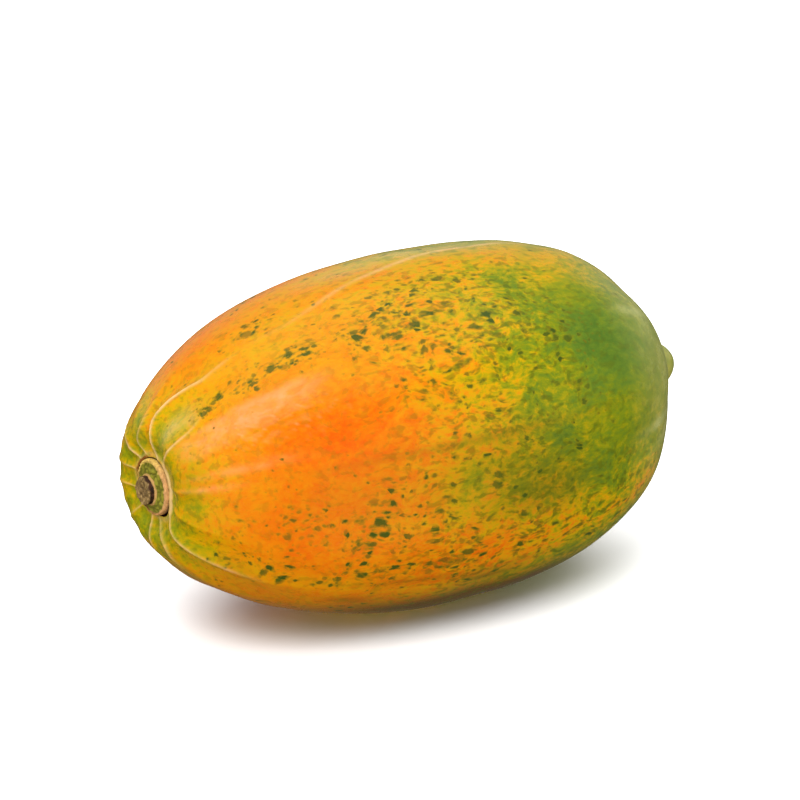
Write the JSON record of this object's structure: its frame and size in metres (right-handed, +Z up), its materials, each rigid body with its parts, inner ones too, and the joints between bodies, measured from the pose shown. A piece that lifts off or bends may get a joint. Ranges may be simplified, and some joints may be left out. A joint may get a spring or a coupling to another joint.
{
  "type": "papaya",
  "caption": "Whole ripening papaya lying on its side, a lobed oval fruit with a dried stalk stub at one end and a small nub at the other.",
  "frame": {"origin": "middle of the whole object's footprint, on the surface it lies on", "axes": "+Z up; +X along the fruit from the stalk towards the blossom tip, which is raised by one degree; +Y across it"},
  "size_m": [0.2288, 0.1306, 0.1272],
  "materials": {
    "skin": "waxy fruit skin, orange ripening from green, with a soft gloss",
    "stalk": "dry corky stalk, matte"
  },
  "bodies": {
    "root": {"papaya_fruit": "skin", "stem_stub": "stalk"}
  },
  "joints": []
}
